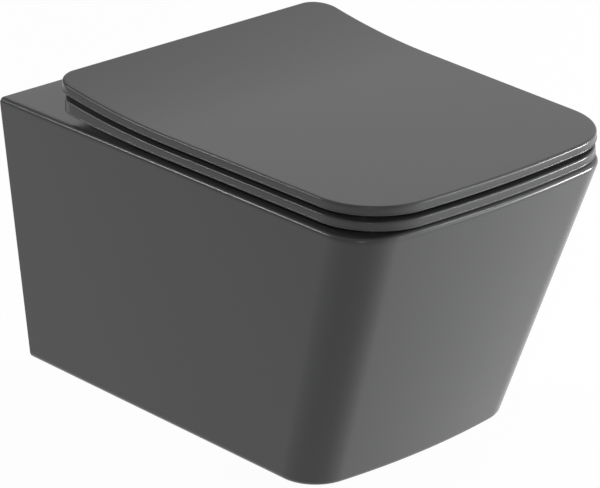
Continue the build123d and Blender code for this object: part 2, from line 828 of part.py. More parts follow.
# Damper body: keyed in the barrel, bored for the shaft
with BuildPart() as damper_body:
    body_inner_x = block_inner_x + damper_inset
    body_outer_x = block_outer_x - damper_inset
    turn_x(damper_radius - damper_clearance, body_inner_x, body_outer_x)
    with BuildSketch(axis_plane.offset(body_inner_x)):
        with Locations((0, -damper_radius)):
            key_size = 2 * (damper_key_height - damper_clearance)
            Rectangle(damper_key_width - 2 * damper_clearance, key_size)
    extrude(amount=body_outer_x - body_inner_x)
    turn_x(shaft_radius + running_clearance, body_inner_x, body_outer_x, Mode.SUBTRACT)
export_pair(damper_body, "damper_body")

# Each shaft is keyed in the panel it slows and turns freely in the other
shaft_inner_x = lid_lug_x
shaft_outer_x = seat_lug_x + lug_width - shaft_end_gap

with BuildPart() as damper_shaft_left:
    turn_x(shaft_radius, -seat_lug_x, -shaft_inner_x)
    turn_keyed_x(shaft_radius, shaft_flat, -shaft_outer_x, -seat_lug_x)
damper_shaft_left.part.label = "damper_shaft_left"
export_step(damper_shaft_left.part, "parts/damper_shaft_left.step")

with BuildPart() as damper_shaft_right:
    turn_keyed_x(shaft_radius, shaft_flat, shaft_inner_x, shaft_inner_x + lug_width)
    turn_x(shaft_radius, shaft_inner_x + lug_width, shaft_outer_x)
damper_shaft_right.part.label = "damper_shaft_right"
export_step(damper_shaft_right.part, "parts/damper_shaft_right.step")

with BuildPart() as lid_bush:
    turn_x(bush_radius, -lid_lug_x - lug_width, -lid_lug_x)
    turn_x(shaft_radius + running_clearance, -lid_lug_x - lug_width, -lid_lug_x, Mode.SUBTRACT)
lid_bush.part.label = "lid_bush"
export_step(lid_bush.part, "parts/lid_bush.step")

with BuildPart() as seat_bush:
    turn_x(bush_radius, seat_lug_x, seat_lug_x + lug_width)
    turn_x(shaft_radius + running_clearance, seat_lug_x, seat_lug_x + lug_width, Mode.SUBTRACT)
seat_bush.part.label = "seat_bush"
export_step(seat_bush.part, "parts/seat_bush.step")


# Concealed wall fixing: the pan's shelf hangs on the bracket's arm
with BuildPart() as wall_bracket:
    with BuildSketch(Plane.YZ.offset(stud_x - bracket_width / 2)):
        with BuildLine():
            Polyline(
                (0, -bracket_below_stud),
                (0, arm_top_z),
                (-bracket_length, arm_top_z),
                (-bracket_length, arm_top_z - bracket_thickness),
                (-bracket_thickness, arm_top_z - bracket_thickness),
                (-bracket_thickness, -bracket_below_stud),
                close=True,
            )
        make_face()
    extrude(amount=bracket_width)
    bend = wall_bracket.edges().filter_by(Axis.X).sort_by_distance((stud_x, 0, arm_top_z))[0]
    fillet(bend, bracket_bend_radius)

    # A gusset along each edge stiffens the bend
    gusset_x = stud_x - bracket_width / 2
    for start in (gusset_x, gusset_x + bracket_width - gusset_thickness):
        with BuildSketch(Plane.YZ.offset(start)):
            with BuildLine():
                Polyline(
                    (-bracket_thickness, gusset_foot - bracket_below_stud),
                    (-bracket_thickness, arm_top_z - bracket_thickness),
                    (-gusset_length, arm_top_z - bracket_thickness),
                    close=True,
                )
            make_face()
        extrude(amount=gusset_thickness)

    # Weld nut under the arm for the clamp screw
    with BuildSketch(Plane.XY.offset(arm_top_z - bracket_thickness - weld_nut_height)):
        with Locations(post_place):
            RegularPolygon(weld_nut_radius, 6)
            Circle(clamp_screw_radius + running_clearance, mode=Mode.SUBTRACT)
    extrude(amount=weld_nut_height)
    with BuildSketch(Plane.XY.offset(arm_top_z - bracket_thickness)):
        with Locations(post_place):
            Circle(clamp_screw_radius + running_clearance)
    extrude(amount=bracket_thickness, mode=Mode.SUBTRACT)

    # Hole for the wall stud
    with BuildSketch(Plane.XZ):
        with Locations((stud_x, 0)):
            Circle(stud_hole_diameter / 2)
    extrude(amount=bracket_thickness, mode=Mode.SUBTRACT)
export_pair(wall_bracket, "wall_bracket")

with BuildPart() as stud_washers:
    with BuildSketch(Plane.XZ.offset(bracket_thickness)):
        with GridLocations(stud_spacing, 1, 2, 1):
            Circle(stud_washer_radius)
            Circle(stud_radius + washer_clearance, mode=Mode.SUBTRACT)
    extrude(amount=stud_washer_thickness)
stud_washers.part.label = "stud_washers"
export_step(stud_washers.part, "parts/stud_washers.step")

with BuildPart() as stud_nuts:
    with BuildSketch(Plane.XZ.offset(bracket_thickness + stud_washer_thickness)):
        with GridLocations(stud_spacing, 1, 2, 1):
            nut_radius = stud_nut_across_flats / 2
            RegularPolygon(nut_radius, 6, major_radius=False, rotation=hexagon_turn)
            Circle(stud_radius + thread_clearance, mode=Mode.SUBTRACT)
    extrude(amount=stud_nut_height)
stud_nuts.part.label = "stud_nuts"
export_step(stud_nuts.part, "parts/stud_nuts.step")

# Clamp screws, reached from above through the deck holes, and their washers
washer_top_z = shelf_top_z + clamp_washer_thickness
screw_foot_z = arm_top_z - bracket_thickness - weld_nut_height - clamp_screw_past_nut

with BuildPart() as clamp_washers:
    with BuildSketch(Plane.XY.offset(shelf_top_z)):
        with Locations((0, post_y)):
            with GridLocations(hinge_spacing, 1, 2, 1):
                Circle(clamp_washer_radius)
    extrude(amount=clamp_washer_thickness)
    with BuildSketch(Plane.XY.offset(shelf_top_z - clamp_sleeve_length)):
        with Locations((0, post_y)):
            with GridLocations(hinge_spacing, 1, 2, 1):
                Circle(clamp_hole_radius - thread_clearance)
    extrude(amount=clamp_sleeve_length)
    with BuildSketch(Plane.XY.offset(shelf_top_z - clamp_sleeve_length)):
        with Locations((0, post_y)):
            with GridLocations(hinge_spacing, 1, 2, 1):
                Circle(clamp_screw_radius + thread_clearance)
    extrude(amount=clamp_sleeve_length + clamp_washer_thickness, mode=Mode.SUBTRACT)
clamp_washers.part.label = "clamp_washers"
export_step(clamp_washers.part, "parts/clamp_washers.step")

with BuildPart() as clamp_screws:
    with BuildSketch(Plane.XY.offset(screw_foot_z)):
        with Locations((0, post_y)):
            with GridLocations(hinge_spacing, 1, 2, 1):
                Circle(clamp_screw_radius)
    extrude(amount=washer_top_z - screw_foot_z)
    with BuildSketch(Plane.XY.offset(washer_top_z)):
        with Locations((0, post_y)):
            with GridLocations(hinge_spacing, 1, 2, 1):
                Circle(clamp_head_radius)
    extrude(amount=clamp_head_height)
    with BuildSketch(Plane.XY.offset(washer_top_z + clamp_head_height - clamp_socket_depth)):
        with Locations((0, post_y)):
            with GridLocations(hinge_spacing, 1, 2, 1):
                RegularPolygon(clamp_socket_radius, 6)
    extrude(amount=clamp_socket_depth, mode=Mode.SUBTRACT)
clamp_screws.part.label = "clamp_screws"
export_step(clamp_screws.part, "parts/clamp_screws.step")


# Flush distributor: neck in the duct, domed head that throws water both ways
nozzle_seat = (0, -nozzle_seat_from_wall, inlet_z)
nozzle_plane = Plane(origin=nozzle_seat, x_dir=(1, 0, 0), z_dir=(0, -1, 0))
ring_outer = duct_bore_radius - thread_clearance
ring_floor = ring_outer - 2 * ring_seal_section - running_clearance

with BuildPart() as flush_distributor:
    with BuildSketch(nozzle_plane):
        Circle(nozzle_radius)
    extrude(amount=nozzle_flange)
    with BuildSketch(nozzle_plane.offset(nozzle_flange)):
        Circle(nozzle_radius - nozzle_shoulder)
    extrude(amount=nozzle_dome)
    fillet(flush_distributor.edges().sort_by(Axis.Y)[0], nozzle_dome_radius)
    with BuildSketch(nozzle_plane):
        Circle(nozzle_neck_radius)
    extrude(amount=-nozzle_neck_length)

    # Waterway up the neck, and the slots that throw the water
    with BuildSketch(nozzle_plane.offset(-nozzle_neck_length)):
        Circle(nozzle_bore_radius)
    extrude(amount=nozzle_neck_length + nozzle_slot_height, mode=Mode.SUBTRACT)
    with BuildSketch(nozzle_plane.offset(nozzle_flange)):
        Rectangle(4 * nozzle_radius, nozzle_slot_width)
        with Locations((0, -nozzle_radius)):
            Rectangle(nozzle_slot_width, 2 * nozzle_radius)
    extrude(amount=nozzle_slot_height, mode=Mode.SUBTRACT)

    # Groove for the ring seal
    with BuildSketch(nozzle_plane.offset(-ring_from_seat - ring_groove_width / 2)):
        Circle(nozzle_neck_radius + past)
        Circle(ring_floor, mode=Mode.SUBTRACT)
    extrude(amount=ring_groove_width, mode=Mode.SUBTRACT)
flush_distributor.part.label = "flush_distributor"
export_step(flush_distributor.part, "parts/flush_distributor.step")

with BuildPart() as distributor_seal:
    with BuildSketch(Plane(origin=(0, 0, inlet_z), x_dir=(1, 0, 0), z_dir=(0, 0, 1))):
        with Locations((ring_outer - ring_seal_section, ring_from_seat - nozzle_seat_from_wall)):
            Circle(ring_seal_section)
    revolve(axis=Axis((0, 0, inlet_z), (0, 1, 0)))
distributor_seal.part.label = "distributor_seal"
export_step(distributor_seal.part, "parts/distributor_seal.step")
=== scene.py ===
# %% [markdown]
# # A wall hung toilet in dark satin china
#
# The object hangs on a wall and nothing of it stands on the floor: a china pan
# with straight tapered flanks, a slim seat and a lid that sweeps up towards the
# wall. Its engineering model is loaded as a fixed frame, and the pieces that
# the eye meets are built again here as smooth surfaces worked out with numpy.
# Lengths are written in millimetres, as on a drawing, and become metres when a
# mesh is made.

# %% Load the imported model
import json
import math

import bmesh
import bpy
import numpy as np
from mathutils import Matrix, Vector
from mathutils.geometry import delaunay_2d_cdt


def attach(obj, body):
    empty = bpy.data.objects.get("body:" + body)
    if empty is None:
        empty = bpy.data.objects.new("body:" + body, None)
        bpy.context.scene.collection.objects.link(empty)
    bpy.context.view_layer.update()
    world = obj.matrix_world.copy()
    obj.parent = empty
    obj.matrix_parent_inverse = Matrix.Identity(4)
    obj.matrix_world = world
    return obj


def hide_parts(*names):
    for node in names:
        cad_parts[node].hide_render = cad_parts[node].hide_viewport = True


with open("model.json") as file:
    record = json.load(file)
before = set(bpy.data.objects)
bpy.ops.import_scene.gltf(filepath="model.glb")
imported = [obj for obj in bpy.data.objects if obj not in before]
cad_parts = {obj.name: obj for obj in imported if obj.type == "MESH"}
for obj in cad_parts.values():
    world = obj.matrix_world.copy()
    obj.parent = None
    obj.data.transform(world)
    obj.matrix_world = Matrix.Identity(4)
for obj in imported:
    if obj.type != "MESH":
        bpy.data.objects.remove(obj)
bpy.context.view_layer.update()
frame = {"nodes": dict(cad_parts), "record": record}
nodes = frame["nodes"]
print("nodes loaded:", len(nodes))

# %% [markdown]
# ## Sheets of points
# Every new piece is made of sheets: arrays of points in rows and columns. Two
# neighbouring rows and two neighbouring columns enclose a quad. A piece is a
# stack of such sheets whose borders coincide, so merging the points that fall
# together closes it. This keeps all sums in whole arrays, where a loop over
# vertices would be slow and hard to read.

# %% Turn sheets into one closed mesh
MM = 0.001
# metres: points closer than the first are merged, edges shorter than the second go
MERGE_DISTANCE = 1e-5
SHORTEST_EDGE = 1e-6


def sheet(points, closed=True):
    """Quads between the rows and columns of points [rows, columns, 3].

    A quad joins (i, j), (i, j + 1), (i + 1, j + 1) and (i + 1, j); closed joins
    the last column to the first as well.
    """
    rows, columns = points.shape[:2]
    index = np.arange(rows * columns).reshape(rows, columns)
    left = index if closed else index[:, :-1]
    right = np.roll(index, -1, axis=1) if closed else index[:, 1:]
    quads = np.stack([left[:-1], right[:-1], right[1:], left[1:]], axis=-1)
    return points.reshape(-1, 3), quads.reshape(-1, 4)


def stack(name, sheets, sharp=38.0):
    """One object from several sheets of (points, faces).

    Points within a hundredth of a millimetre are merged, faces of no area are
    dropped, the rest turn outwards, and edges that turn by more than sharp
    degrees stay crisp under smooth shading.
    """
    points = np.concatenate([own for own, _ in sheets])
    starts = np.cumsum([0] + [len(own) for own, _ in sheets[:-1]])
    faces = []
    for (_, own), start in zip(sheets, starts):
        faces += (own + start).tolist()
    mesh = bpy.data.meshes.new(name)
    mesh.from_pydata((points * MM).tolist(), [], faces)
    made = bmesh.new()
    made.from_mesh(mesh)
    bmesh.ops.remove_doubles(made, verts=made.verts, dist=MERGE_DISTANCE)
    bmesh.ops.dissolve_degenerate(made, edges=made.edges, dist=SHORTEST_EDGE)
    bmesh.ops.recalc_face_normals(made, faces=made.faces)
    made.to_mesh(mesh)
    made.free()
    mesh.shade_smooth()
    mesh.set_sharp_from_angle(angle=math.radians(sharp))
    piece = bpy.data.objects.new(name, mesh)
    bpy.context.scene.collection.objects.link(piece)
    open_edges = mesh_open_edges(mesh)
    print(name, "faces:", len(mesh.polygons), "open edges:", open_edges)
    return piece


def mesh_open_edges(mesh):
    """How many edges don't have exactly two faces; a closed mesh has none."""
    edge_of_loop = np.zeros(len(mesh.loops), int)
    mesh.loops.foreach_get("edge_index", edge_of_loop)
    uses = np.bincount(edge_of_loop, minlength=len(mesh.edges))
    return int((uses != 2).sum())


# %% [markdown]
# ## Flat faces with holes
# The deck of the pan is a flat face with a bowl-shaped hole and two round ones.
# A grid doesn't fit such a face, so it is filled by a constrained Delaunay
# triangulation: the borders are kept as edges, and triangles whose middle lies
# outside the border or inside a hole are thrown away.


# %% Fill a border with holes
# square millimetres, under which a triangle is only a line
LEAST_AREA = 1e-4
SAME_POINT = 1e-6


def inside(points, loop):
    """Whether each point lies in the closed loop: an odd count of edges to its right."""
    a = loop
    b = np.roll(loop, -1, axis=0)
    x = points[:, None, 0]
    y = points[:, None, 1]
    crosses = (a[:, 1] > y) != (b[:, 1] > y)
    rise = np.where(b[:, 1] == a[:, 1], 1.0, b[:, 1] - a[:, 1])
    meet = a[:, 0] + (y - a[:, 1]) * (b[:, 0] - a[:, 0]) / rise
    return (crosses & (x < meet)).sum(axis=1) % 2 == 1


def fill(loops, place):
    """Triangles inside loops[0] and outside the other loops, those of no area dropped.

    place turns the flat points [n, 2] into points in space [n, 3].
    """
    counts = [len(loop) for loop in loops]
    starts = np.cumsum([0] + counts[:-1])
    edges = np.concatenate([
        np.stack([start + np.arange(n), start + (np.arange(n) + 1) % n], axis=1)
        for start, n in zip(starts, counts)
    ])
    flat = [Vector(p) for p in np.concatenate(loops).tolist()]
    found, _, triangles, _, _, _ = delaunay_2d_cdt(flat, edges.tolist(), [], 0, SAME_POINT)
    found = np.array([tuple(p) for p in found])
    triangles = np.array([t for t in triangles if len(t) == 3])
    middle = found[triangles].mean(axis=1)
    first, second, third = np.moveaxis(found[triangles], 1, 0)
    side_a, side_b = second - first, third - first
    area = np.abs(side_a[:, 0] * side_b[:, 1] - side_a[:, 1] * side_b[:, 0]) / 2
    keep = inside(middle, loops[0]) & (area > LEAST_AREA)
    for hole in loops[1:]:
        keep &= ~inside(middle, hole)
    return place(found), triangles[keep]


def level(z):
    """Places flat points at height z."""
    return lambda flat: np.column_stack([flat, np.full(len(flat), float(z))])


# %% [markdown]
# ## The outline that pan, seat and lid share
# Seen from above, all three are the same figure: straight sides that come
# together a little towards the front, a slightly bowed front edge, and corners
# rounded by an arc. Each point of the outline also gets the direction that
# points straight out of it, so that edges can be rounded by moving along it.
# A curve drawn by hand would do for one of the three. Worked out from a few
# sizes, all of them have the same points in the same order, and a surface can
# run from one to the next.


# %% Outline of pan, seat and lid
REAR_STEPS, REAR_BEND_STEPS, SIDE_STEPS, CORNER_STEPS, FRONT_STEPS = 24, 20, 60, 30, 26


def run(start, end, steps):
    """Points in equal steps from start to end, the end left out."""
    share = np.linspace(0, 1, steps, endpoint=False)[:, None]
    return np.asarray(start) * (1 - share) + np.asarray(end) * share


def arc(centre, radius, start, end, steps):
    """Points and outward directions on an arc, the end left out."""
    turn = np.linspace(start, end, steps, endpoint=False)
    out = np.column_stack([np.cos(turn), np.sin(turn)])
    return np.asarray(centre) + radius * out, out


def half_outline(rear, front, half_rear, half_front, bow, corner, rear_corner=0.0):
    """Right half of the outline, from the wall to the middle of the front.

    The bowed front is an arc of radius (half_front^2 + bow^2) / (2 bow). The
    corner arc's centre lies corner away from the side line and from that arc.
    """
    bow_radius = (half_front**2 + bow**2) / (2 * bow)
    bow_centre = np.array([0.0, bow_radius - front])
    side_start = np.array([half_rear, -rear])
    along = np.array([half_front, bow - front]) - side_start
    along = along / np.linalg.norm(along)
    out = np.array([-along[1], along[0]])
    offset = side_start - out * corner - bow_centre
    half_way = offset @ along
    reach = math.sqrt(half_way**2 - offset @ offset + (bow_radius - corner) ** 2)
    centre = bow_centre + offset + along * (reach - half_way)
    side_end = centre + out * corner
    to_arc = (centre - bow_centre) / np.linalg.norm(centre - bow_centre)
    side_turn = math.atan2(out[1], out[0])
    arc_turn = math.atan2(to_arc[1], to_arc[0])
    points, outs = [], []
    if rear_corner:
        half_angle = 0.5 * math.acos(-along[0])
        reach = rear_corner / math.tan(half_angle)
        rear_centre = side_start + along * reach - out * rear_corner
        points.append(run((0.0, -rear), (rear_centre[0], -rear), REAR_STEPS))
        outs.append(np.tile([0.0, 1.0], (REAR_STEPS, 1)))
        bend, bend_out = arc(rear_centre, rear_corner, math.pi / 2, side_turn, REAR_BEND_STEPS)
        points.append(bend)
        outs.append(bend_out)
        side_start = rear_centre + out * rear_corner
    points.append(run(side_start, side_end, SIDE_STEPS))
    outs.append(np.tile(out, (SIDE_STEPS, 1)))
    for middle, radius, start, end, steps in (
        (centre, corner, side_turn, arc_turn, CORNER_STEPS),
        (bow_centre, bow_radius, arc_turn, -math.pi / 2, FRONT_STEPS),
    ):
        bend, bend_out = arc(middle, radius, start, end, steps)
        points.append(bend)
        outs.append(bend_out)
    points.append(np.array([[0.0, -front]]))
    outs.append(np.array([[0.0, -1.0]]))
    return np.concatenate(points), np.concatenate(outs)


def both_halves(points, outs, closed):
    """Adds the mirrored half: an open line for the pan, a loop for seat and lid.

    The point at the middle of the front isn't repeated, nor is a loop's first.
    """
    flip = np.array([-1.0, 1.0])
    last = 0 if closed else None
    mirrored = slice(-2, last, -1)
    return (
        np.concatenate([points, points[mirrored] * flip]),
        np.concatenate([outs, outs[mirrored] * flip]),
    )


def rows_of(flat, height):
    """A row of points in space from flat points and their heights."""
    return np.column_stack([flat, np.broadcast_to(height, len(flat))])


# %% [markdown]
# ## The pan outside
# The pan is cast in a plaster mould, so its flanks are ruled surfaces: a
# straight line joins each point of the foot outline to the point of the rim
# outline that belongs to it. The flanks lean outwards by a different angle all
# round, so the rounded edges at foot and rim are arcs that begin where the
# leaning flank ends. A box with a Bevel modifier would come close, but its
# roundings would change in width as the flank's lean changes. Rows just beside
# each arc keep the shading of the flat faces clean.

# %% Sizes of the pan, with heights from the wall studs
RIM_Z = 90.0
FOOT_Z = -203.0
DECK_UNDER_Z = 76.0
CHINA = 11.0
RIM = dict(front=523.0, half_rear=177.35, half_front=165.0, corner=50.0)
FOOT = dict(front=423.0, half_rear=150.8, half_front=137.0, corner=45.0)
BOW = 12.5
RIM_EDGE = 5.0
FOOT_EDGE = 8.0
INNER_EDGE = 7.0
# how far the rows beside a rounding stand off from it
RIM_BORDER = 3.0
FOOT_BORDER = 4.0


def pan_line(share, inset):
    """The pan's outline a share of the way from foot to rim, drawn in by inset."""
    size = {key: FOOT[key] * (1 - share) + RIM[key] * share - inset for key in RIM}
    return both_halves(*half_outline(rear=0.0, bow=BOW, **size), closed=False)


# %% The pan's outer surface
def pan_outside():
    """Rows from the floor's border up the flank to the deck's border.

    A rounded edge of radius r between a level face and a flank that leans by
    the angle a has its centre r (1 -+ sin a) / cos a inside the outline.
    """
    foot, foot_out = pan_line(0.0, 0.0)
    rim, rim_out = pan_line(1.0, 0.0)
    out = foot_out + rim_out
    out = out / np.linalg.norm(out, axis=1)[:, None]
    lean = np.arctan(((rim - foot) * out).sum(axis=1) / (RIM_Z - FOOT_Z))
    low_in = -FOOT_EDGE * (1 - np.sin(lean)) / np.cos(lean)
    high_in = -RIM_EDGE * (1 + np.sin(lean)) / np.cos(lean)
    rows = [rows_of(foot + out * (low_in - FOOT_BORDER)[:, None], FOOT_Z)]
    for share in np.linspace(0, 1, 11):
        turn = -math.pi / 2 * (1 - share) - lean * share
        flat = foot + out * (low_in + FOOT_EDGE * np.cos(turn))[:, None]
        rows.append(rows_of(flat, FOOT_Z + FOOT_EDGE * (1 + np.sin(turn))))
    upper = []
    for share in np.linspace(0, 1, 9):
        turn = -lean * (1 - share) + math.pi / 2 * share
        flat = rim + out * (high_in + RIM_EDGE * np.cos(turn))[:, None]
        upper.append(rows_of(flat, RIM_Z - RIM_EDGE * (1 - np.sin(turn))))
    upper.append(rows_of(rim + out * (high_in - RIM_BORDER)[:, None], RIM_Z))
    low, high = rows[-1], upper[0]
    shares = np.concatenate([[0.006], np.linspace(0.03, 0.97, 30), [0.994]])
    rows += [low * (1 - share) + high * share for share in shares]
    made = np.stack(rows + upper)
    made[:, [0, -1], 1] = 0.0  # the first and last column lie on the wall
    return made


outside = pan_outside()
print("pan outside, rows and columns:", outside.shape[:2])

# %% [markdown]
# ## The hollow behind
# A wall hung pan is a shell about 11 mm thick that opens at the wall, where
# brackets and pipes go in. The hollow repeats the outside, drawn in by the
# thickness of the china, with soft inner corners where the slip builds up. A
# Solidify modifier could thicken the outside, but the hollow needs a level
# floor and roof and has to end at the wall, so it is a surface of its own.


# %% The pan's hollow
def pan_hollow():
    """Rows from the hollow's floor border up its wall to its roof border."""
    floor_z = FOOT_Z + CHINA
    height = RIM_Z - FOOT_Z
    low, low_out = pan_line(CHINA / height, CHINA)
    high, high_out = pan_line((DECK_UNDER_Z - FOOT_Z) / height, CHINA)
    rows = []
    for share in np.linspace(0, 1, 6):
        turn = -math.pi / 2 * (1 - share)
        flat = low + low_out * (INNER_EDGE * (math.cos(turn) - 1))
        rows.append(rows_of(flat, floor_z + INNER_EDGE * (1 + math.sin(turn))))
    upper = []
    for share in np.linspace(0, 1, 6):
        turn = math.pi / 2 * share
        flat = high + high_out * (INNER_EDGE * (math.cos(turn) - 1))
        upper.append(rows_of(flat, DECK_UNDER_Z - INNER_EDGE * (1 - math.sin(turn))))
    shares = np.linspace(0, 1, 14)[1:-1]
    rows += [rows[-1] * (1 - share) + upper[0] * share for share in shares]
    made = np.stack(rows + upper)
    made[:, [0, -1], 1] = 0.0  # the first and last column lie on the wall
    return made


hollow = pan_hollow()
print("hollow, rows and columns:", hollow.shape[:2])

# %% [markdown]
# ## Bowl and waste way
# One sheet follows the water: over the lip, down the bowl, through the dip,
# up over the weir and out at the spigot. Each row is a closed ring in a plane
# across the way. A ring is a superellipse, whose power makes it round at 2 and
# squarer above that, and equal angles on all rings keep the columns in line.
# The outer skin is the same way with larger rings, walked back. The bowl could
# be sculpted or subdivided from a rough shape. Rings keep the widths that the
# water needs, and leave no seam where it would show.

# %% Rings along the way
ANGLES = np.linspace(0, 2 * math.pi, 128, endpoint=False)


def superellipse(turn, half_x, half_n, power):
    """Its reach in each direction: (|cos/half_x|^p + |sin/half_n|^p)^(-1/p)."""
    return (
        np.abs(np.cos(turn) / half_x) ** power + np.abs(np.sin(turn) / half_n) ** power
    ) ** (-1 / power)


def ring(half_x, half_n, power):
    """A superellipse's points, in the directions that all rings share."""
    reach = superellipse(ANGLES, half_x, half_n, power)
    return reach[:, None] * np.column_stack([np.cos(ANGLES), np.sin(ANGLES)])


def in_space(flat, y, z, slope):
    """A ring in the plane across the way at (0, y, z).

    slope is 0 where the way runs down and a quarter turn where it runs level
    towards the wall; the ring's second direction is (0, cos slope, sin slope).
    """
    return np.column_stack([
        flat[:, 0], y + flat[:, 1] * math.cos(slope), z + flat[:, 1] * math.sin(slope)
    ])


SUMP_DEPTH = 206.0
# depth under the rim, half width, half length, power, rear edge from the wall
BOWL = np.array([
    (0.0, 126.5, 166.5, 3.2, 151.5),
    (50.0, 122.0, 160.0, 3.2, 158.0),
    (110.0, 100.0, 129.0, 2.9, 192.0),
    (160.0, 70.0, 86.0, 2.6, 236.0),
    (200.0, 46.0, 52.0, 2.3, 264.0),
    (SUMP_DEPTH, 43.0, 46.0, 2.2, 268.0),
])


def bowl_at(depth):
    """The bowl's sizes at a depth: a cubic between the table's rows."""
    known = BOWL[:, 0]
    slope = np.gradient(BOWL[:, 1:], known, axis=0)
    i = int(np.clip(np.searchsorted(known, depth) - 1, 0, len(known) - 2))
    gap = known[i + 1] - known[i]
    t = (depth - known[i]) / gap
    return (
        (2 * t**3 - 3 * t**2 + 1) * BOWL[i, 1:]
        + (t**3 - 2 * t**2 + t) * gap * slope[i]
        + (3 * t**2 - 2 * t**3) * BOWL[i + 1, 1:]
        + (t**3 - t**2) * gap * slope[i + 1]
    )


def bowl_ring(depth, grow):
    """The bowl's ring at a depth, with grow of china added all round."""
    half_x, half_n, power, rear = bowl_at(depth)
    flat = ring(half_x + grow, half_n + grow, power)
    return in_space(flat, -rear - half_n, RIM_Z - depth, 0.0)


# %% The way from the sump to the spigot
BORE = 28.0
BEND_RADIUS = 45.0
LEVEL, UP, DOWN = math.pi / 2, math.radians(145), math.radians(30)
# each bend's first y and z, and the slopes that it joins: dip, rise, weir, fall
BENDS = (
    (-271.4, -148.0, LEVEL, UP),
    (-191.4, -67.2, UP, LEVEL),
    (-152.0, -48.0, LEVEL, DOWN),
    (-109.0, -77.5, DOWN, LEVEL),
)
# the way turns level about this line (y, z), which stays a gap under its rings
PIVOT_Y, PIVOT_Z, PIVOT_GAP = -264.0, -116.0, 4.0
PIVOT_SHIFT = 7.4


def bend(y, z, start, end, steps=12):
    """Stations (y, z, slope) of an arc; it curves up where the slope grows."""
    turn = 1.0 if end > start else -1.0
    slopes = np.linspace(start, end, steps)
    first_across = np.array([math.cos(start), math.sin(start)])
    centre = np.array([y, z]) + turn * BEND_RADIUS * first_across
    across = np.column_stack([np.cos(slopes), np.sin(slopes)])
    return np.column_stack([centre - turn * BEND_RADIUS * across, slopes])


def way_rings(grow):
    """Rings from the end of the bowl, round the dip and over the weir."""
    rings = []
    half_x, half_n = bowl_at(SUMP_DEPTH)[:2]
    for share in np.linspace(0, 1, 10)[1:]:
        slope = LEVEL * share
        inner = max(PIVOT_GAP - grow, 1.0)
        outer = PIVOT_GAP + 2 * (half_n * (1 - share) + BORE * share) + grow
        middle = (inner + outer) / 2
        y = PIVOT_Y - PIVOT_SHIFT * share - middle * math.cos(slope)
        z = PIVOT_Z - middle * math.sin(slope)
        side = half_x * (1 - share) + BORE * share + grow
        flat = ring(side, (outer - inner) / 2, 2.0 + 0.2 * (1 - share))
        rings.append(in_space(flat, y, z, slope))
    path = np.concatenate([bend(*station) for station in BENDS])
    round_ring = ring(BORE + grow, BORE + grow, 2.0)
    rings += [in_space(round_ring, *station) for station in path]
    return rings


# %% Lip, bowl, way and spigot as one sheet
BOWL_LIP = 5.0
LIP_BORDER = 3.0
BOWL_WALL = 10.0
BEHIND_BOWL = 2.0
DEPTHS = np.linspace(0.0, SUMP_DEPTH, 104)
BOWL_SIZES = np.array([bowl_at(depth) for depth in DEPTHS])
OUTLET_Z = -100.0
# y and radius round the spigot: out of the way, over its mouth and back outside
SPIGOT = (
    (-66, 28), (-65, 28), (-65, 40), (-31, 40), (-30, 41),
    (-30, 50), (-31, 51), (-75, 51), (-75, 38),
)


def behind_bowl(rings):
    """Keeps the outer skin of the rising way out of the bowl.

    At a point's x and depth the bowl's rear wall lies at
    -rear - half_n + half_n (1 - |x / half_x|^p)^(1/p); a point in front of it
    moves back to BEHIND_BOWL behind it.
    """
    x, y, z = np.moveaxis(np.stack(rings), -1, 0)
    depth = RIM_Z - z
    half_x, half_n, power, rear = (np.interp(depth, DEPTHS, size) for size in BOWL_SIZES.T)
    across = np.clip(np.abs(x) / half_x, 0.0, 1.0)
    wall_y = BEHIND_BOWL - rear - half_n + half_n * (1 - across**power) ** (1 / power)
    shows = (depth < DEPTHS[-1]) & (across < 1) & (y < wall_y)
    return list(np.stack([x, np.where(shows, wall_y, y), z], axis=-1))


def water_way():
    """All rows: deck border, lip, bowl, way, spigot mouth and back outside to the roof."""
    top = bowl_ring(0.0, 0.0)
    along = np.roll(top, -1, axis=0) - np.roll(top, 1, axis=0)
    out = np.column_stack([along[:, 1], -along[:, 0]])
    out = out / np.linalg.norm(out, axis=1)[:, None]
    rows = [rows_of(top[:, :2] + out * (BOWL_LIP + LIP_BORDER), RIM_Z)]
    for turn in np.linspace(0, math.pi / 2, 8):
        flat = top[:, :2] + out * BOWL_LIP * (1 - math.sin(turn))
        rows.append(rows_of(flat, RIM_Z - BOWL_LIP * (1 - math.cos(turn))))
    depths = np.linspace(BOWL_LIP + LIP_BORDER, SUMP_DEPTH, 40)
    rows += [bowl_ring(depth, 0.0) for depth in depths]
    rows += way_rings(0.0)
    rows += [in_space(ring(radius, radius, 2.0), y, OUTLET_Z, LEVEL) for y, radius in SPIGOT]
    # the last two rings lie inside the spigot, where the skin would fold over itself
    rows += behind_bowl(way_rings(BOWL_WALL)[-3::-1])
    depths = np.linspace(SUMP_DEPTH, RIM_Z - DECK_UNDER_Z, 24)
    rows += [bowl_ring(depth, BOWL_WALL) for depth in depths]
    return np.stack(rows)


way = water_way()
print("water way, rows and columns:", way.shape[:2])

# %% [markdown]
# ## Closing the china
# Deck, roof of the hollow and floor are flat fills, and so is the frame of
# china that lies against the wall. The deck has two round holes for the posts
# of the seat's hinges. Booleans could cut these holes from a solid, but
# borders that coincide leave cleaner faces. On each side a small shelf hangs on
# its wall bracket; it is a separate closed solid that runs into the flank.

# %% Shelves, inlet and the finished pan
POST_X, POST_Y = 77.5, -117.0
POST_HOLE = 8.0
SHELF_HOLE = 6.5
# the right shelf's x and y from and to, and its heights
SHELF, SHELF_Z = (55.0, 163.0, -147.0, -60.0), (20.0, 34.0)
INLET_Z = 35.0
# distance from the axis and from the wall, round the inlet's section
INLET_PROFILE = [(38, 50), (38, 176), (17, 176), (17, 100), (28, 100), (28, 50), (38, 50)]


